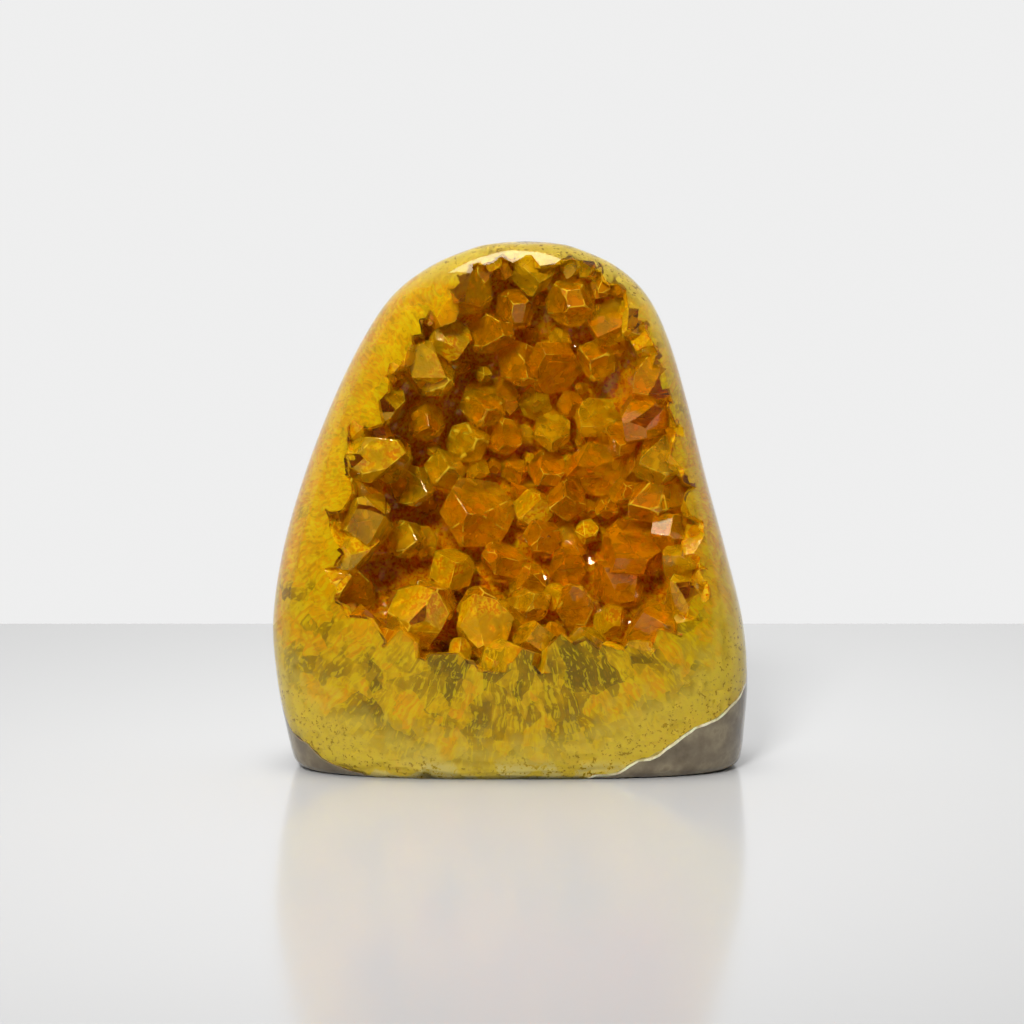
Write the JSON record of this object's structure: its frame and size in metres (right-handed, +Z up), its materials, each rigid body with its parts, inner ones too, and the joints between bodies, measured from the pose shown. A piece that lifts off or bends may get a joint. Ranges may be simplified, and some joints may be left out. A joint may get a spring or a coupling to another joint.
{
  "type": "heat-treated amethyst druzy",
  "caption": "Polished cut-base stone standing on a flat sawn base, with a deep hollow lined by a crust of yellow to orange-brown quartz crystals.",
  "frame": {"origin": "middle of the sawn base, on the plane it stands on", "axes": "+Z up from the base to the crown, -Y out of the hollow towards the viewer, +X to the viewer's right"},
  "size_m": [0.0908, 0.0522, 0.1],
  "materials": {
    "rock_rind": "grey agate-like host rock, polished at the front and sides, natural rough skin at the back",
    "quartz_band": "polished translucent yellow quartz with columnar grains and white specks",
    "crystal_crust": "glossy translucent crystals, yellow at their roots and orange-brown at their tips"
  },
  "bodies": {
    "root": {"rock_rind": "rock_rind", "quartz_band": "quartz_band", "crystal_crust": "crystal_crust"}
  },
  "joints": []
}
